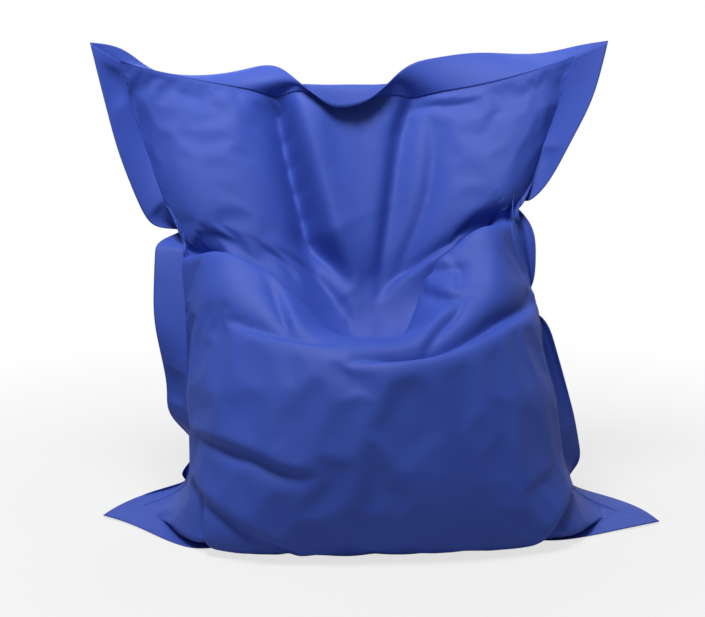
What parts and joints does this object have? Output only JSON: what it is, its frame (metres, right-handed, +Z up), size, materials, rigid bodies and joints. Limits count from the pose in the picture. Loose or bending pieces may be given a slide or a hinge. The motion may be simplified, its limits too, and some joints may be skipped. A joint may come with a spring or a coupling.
{
  "type": "bean bag chair",
  "caption": "Large flat-pillow bean bag set up as a seat: coated cloth cover with flat sewn margins and corner wings, bead filling, and a zip on the back.",
  "frame": {"origin": "on the floor, under the middle of the whole object's box", "axes": "+Z up, the seat faces -Y, +X is to the right as seen from in front"},
  "size_m": [1.4413, 0.7874, 1.1905],
  "materials": {
    "cover_cloth": "satin",
    "foam_beads": "matte",
    "zip_tape": "matte",
    "zip_teeth": "satin",
    "zip_metal": "satin"
  },
  "bodies": {
    "bag": {"front_panel": "cover_cloth", "back_panel": "cover_cloth", "left_margin": "cover_cloth", "right_margin": "cover_cloth", "top_margin": "cover_cloth", "bottom_margin": "cover_cloth", "bead_filling": "foam_beads", "zip_tape_lower": "zip_tape", "zip_tape_upper": "zip_tape", "zip_teeth_lower": "zip_teeth", "zip_teeth_upper": "zip_teeth", "zip_end_stop": "zip_metal", "zip_top_stop_lower": "zip_metal", "zip_top_stop_upper": "zip_metal"},
    "slider": {"zip_slider": "zip_metal"}
  },
  "joints": [
    {"name": "zip_slide", "type": "slide", "parent": "bag", "child": "slider", "axis": [1, 0, 0], "range_m": [0, 0.46], "deforming": ["zip_teeth_lower", "zip_teeth_upper"]}
  ]
}
